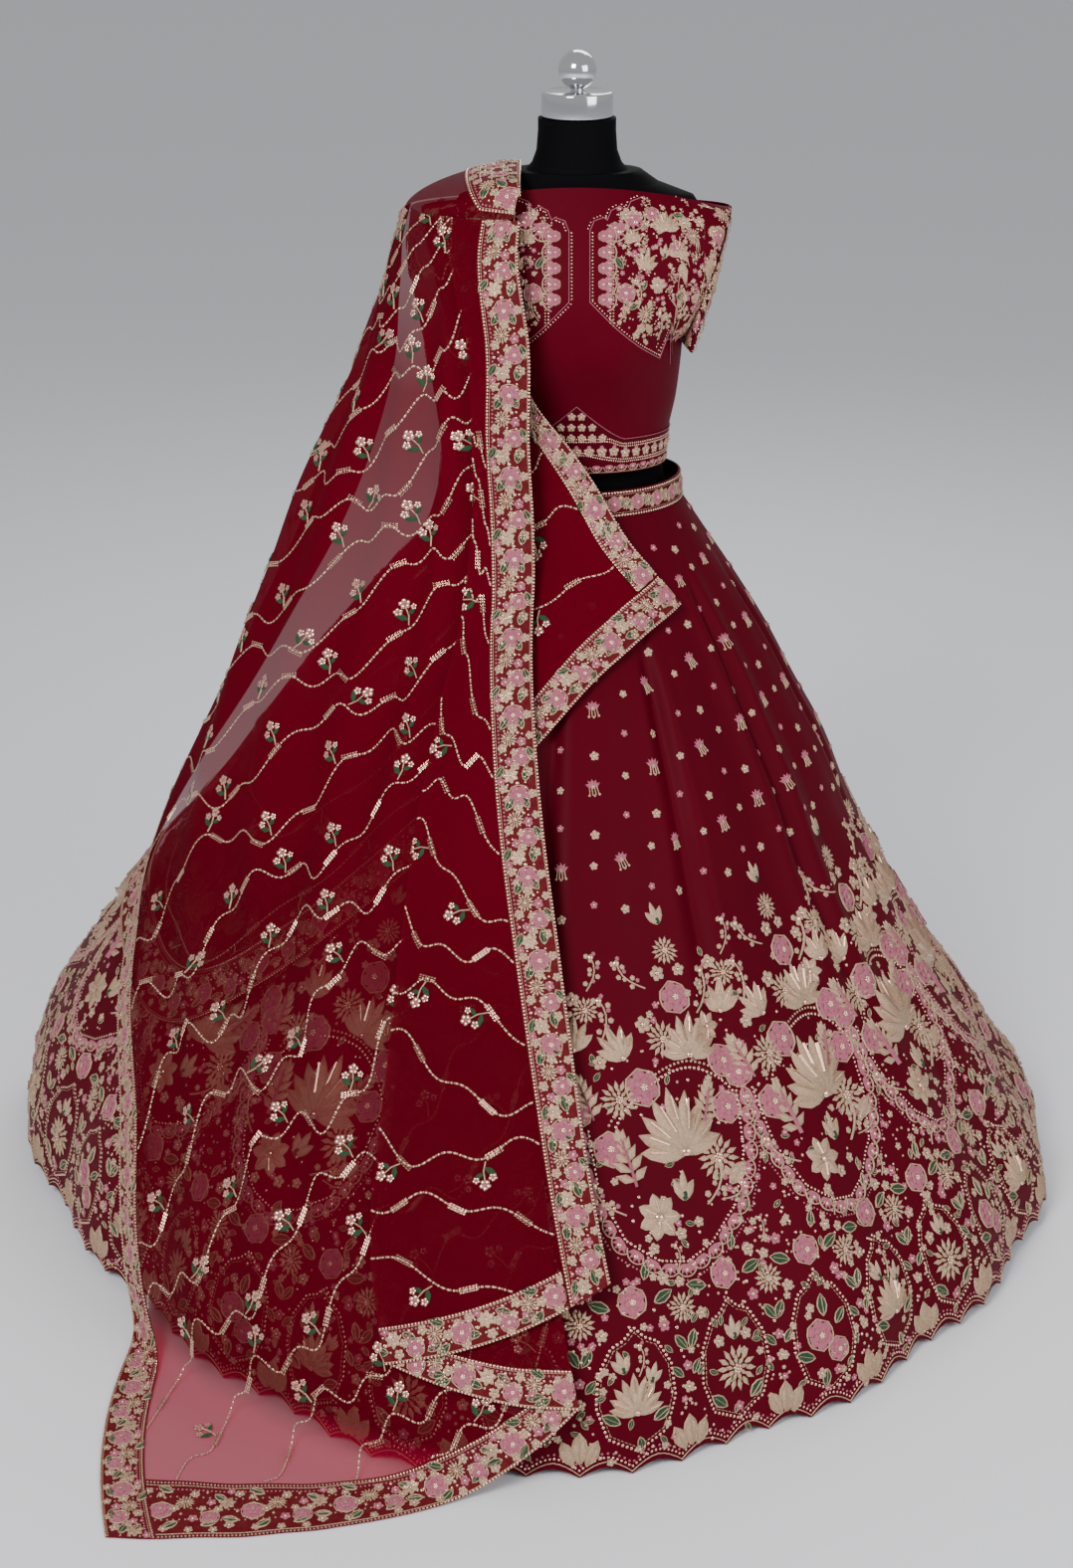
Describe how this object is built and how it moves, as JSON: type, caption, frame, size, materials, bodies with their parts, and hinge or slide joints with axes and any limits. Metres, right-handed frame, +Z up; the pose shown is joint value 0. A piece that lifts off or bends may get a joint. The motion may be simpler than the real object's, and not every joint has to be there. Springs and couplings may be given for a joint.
{
  "type": "lehenga choli on dress form",
  "caption": "Flared embroidered skirt, boat-neck blouse and bordered net dupatta, worn by a limbless dress form on a pole and a round base.",
  "frame": {"origin": "centre of the stand's underside, on the floor", "axes": "+Z up, -Y to the garment's front, +X to the wearer's left"},
  "size_m": [1.5503, 1.5657, 1.6007],
  "materials": {
    "form_cloth": "black stretch cloth with a soft sheen",
    "form_chrome": "polished",
    "satin_choli": "crimson satin",
    "satin_skirt": "crimson satin",
    "zari_band": "gold and pink thread embroidery on satin",
    "net": "soft crimson net",
    "zari_border": "gold and pink thread embroidery with sequins on net"
  },
  "bodies": {
    "root": {"form_torso": "form_cloth", "form_neck_cap": "form_chrome", "form_neck_ball": "form_chrome", "form_pole": "form_chrome", "form_base": "form_chrome", "choli_front": "satin_choli", "choli_back": "satin_choli", "sleeve_left": "satin_choli", "sleeve_right": "satin_choli", "choli_hem_band_front": "zari_band", "choli_hem_band_back": "zari_band", "skirt_waistband": "zari_band", "skirt_front": "satin_skirt", "skirt_back": "satin_skirt", "dupatta_front_upper": "net", "dupatta_front_fold": "net", "dupatta_front_sweep": "net", "dupatta_shoulder": "net", "dupatta_back": "net", "dupatta_wrap": "net", "dupatta_border_front": "zari_border", "dupatta_border_front_end": "zari_border", "dupatta_border_fold": "zari_border", "dupatta_border_floor": "zari_border", "dupatta_border_left": "zari_border", "dupatta_border_shoulder": "zari_border", "dupatta_border_wrap_hem": "zari_border", "dupatta_border_wrap_end": "zari_border", "dupatta_border_back": "zari_border", "dupatta_border_back_hem": "zari_border"}
  },
  "joints": []
}
